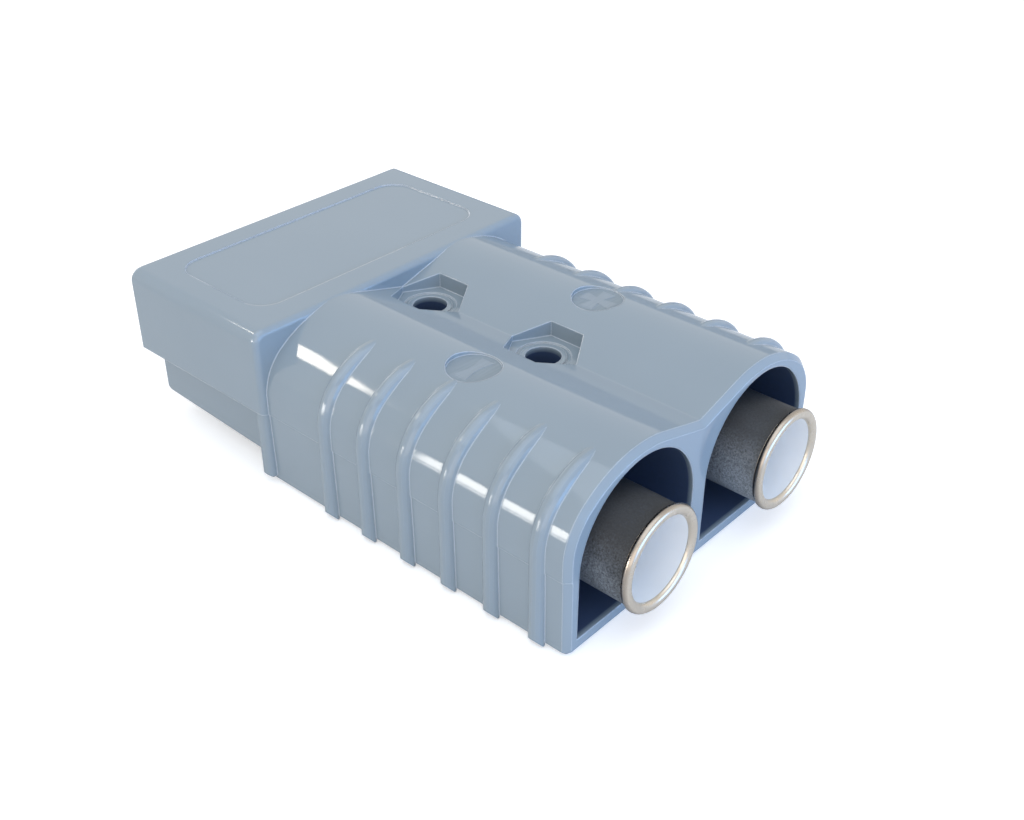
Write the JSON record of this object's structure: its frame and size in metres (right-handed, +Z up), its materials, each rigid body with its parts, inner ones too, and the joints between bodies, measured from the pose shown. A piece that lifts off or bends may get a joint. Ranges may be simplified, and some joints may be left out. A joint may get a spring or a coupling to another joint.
{
  "type": "genderless power connector",
  "caption": "Two-pole genderless power connector: moulded housing with a hooded mating mouth, ribbed arched cable end, nut pockets, and sprung blade contacts with round wire barrels.",
  "frame": {"origin": "middle of the connector's bounding box at the height of the flat base", "axes": "-X towards the mating mouth, +X towards the cable end, +Z up from the flat base to the crowns, the positive pole on the +Y side"},
  "size_m": [0.1142, 0.0706, 0.0322],
  "materials": {
    "housing_plastic": "slate blue-grey polycarbonate, moulded glossy",
    "contact_metal": null,
    "spring_steel": "stainless leaf spring, rolled"
  },
  "bodies": {
    "housing_body": {"housing": "housing_plastic", "spring_positive": "spring_steel", "spring_negative": "spring_steel"},
    "positive_pole": {"contact_positive": "contact_metal"},
    "negative_pole": {"contact_negative": "contact_metal"}
  },
  "joints": [
    {"name": "positive_float", "type": "hinge", "parent": "housing_body", "child": "positive_pole", "pos_m": [-0.02085, 0.0182, 0.0106], "axis": [0, -1, 0], "range_deg": [0, 1.8], "stiffness_Nm_per_rad": 5, "springref_deg": -1.72, "deforming": ["spring_positive"]},
    {"name": "negative_float", "type": "hinge", "parent": "housing_body", "child": "negative_pole", "pos_m": [-0.02085, -0.0182, 0.0106], "axis": [0, -1, 0], "range_deg": [0, 1.8], "stiffness_Nm_per_rad": 5, "springref_deg": -1.72, "deforming": ["spring_negative"]}
  ]
}
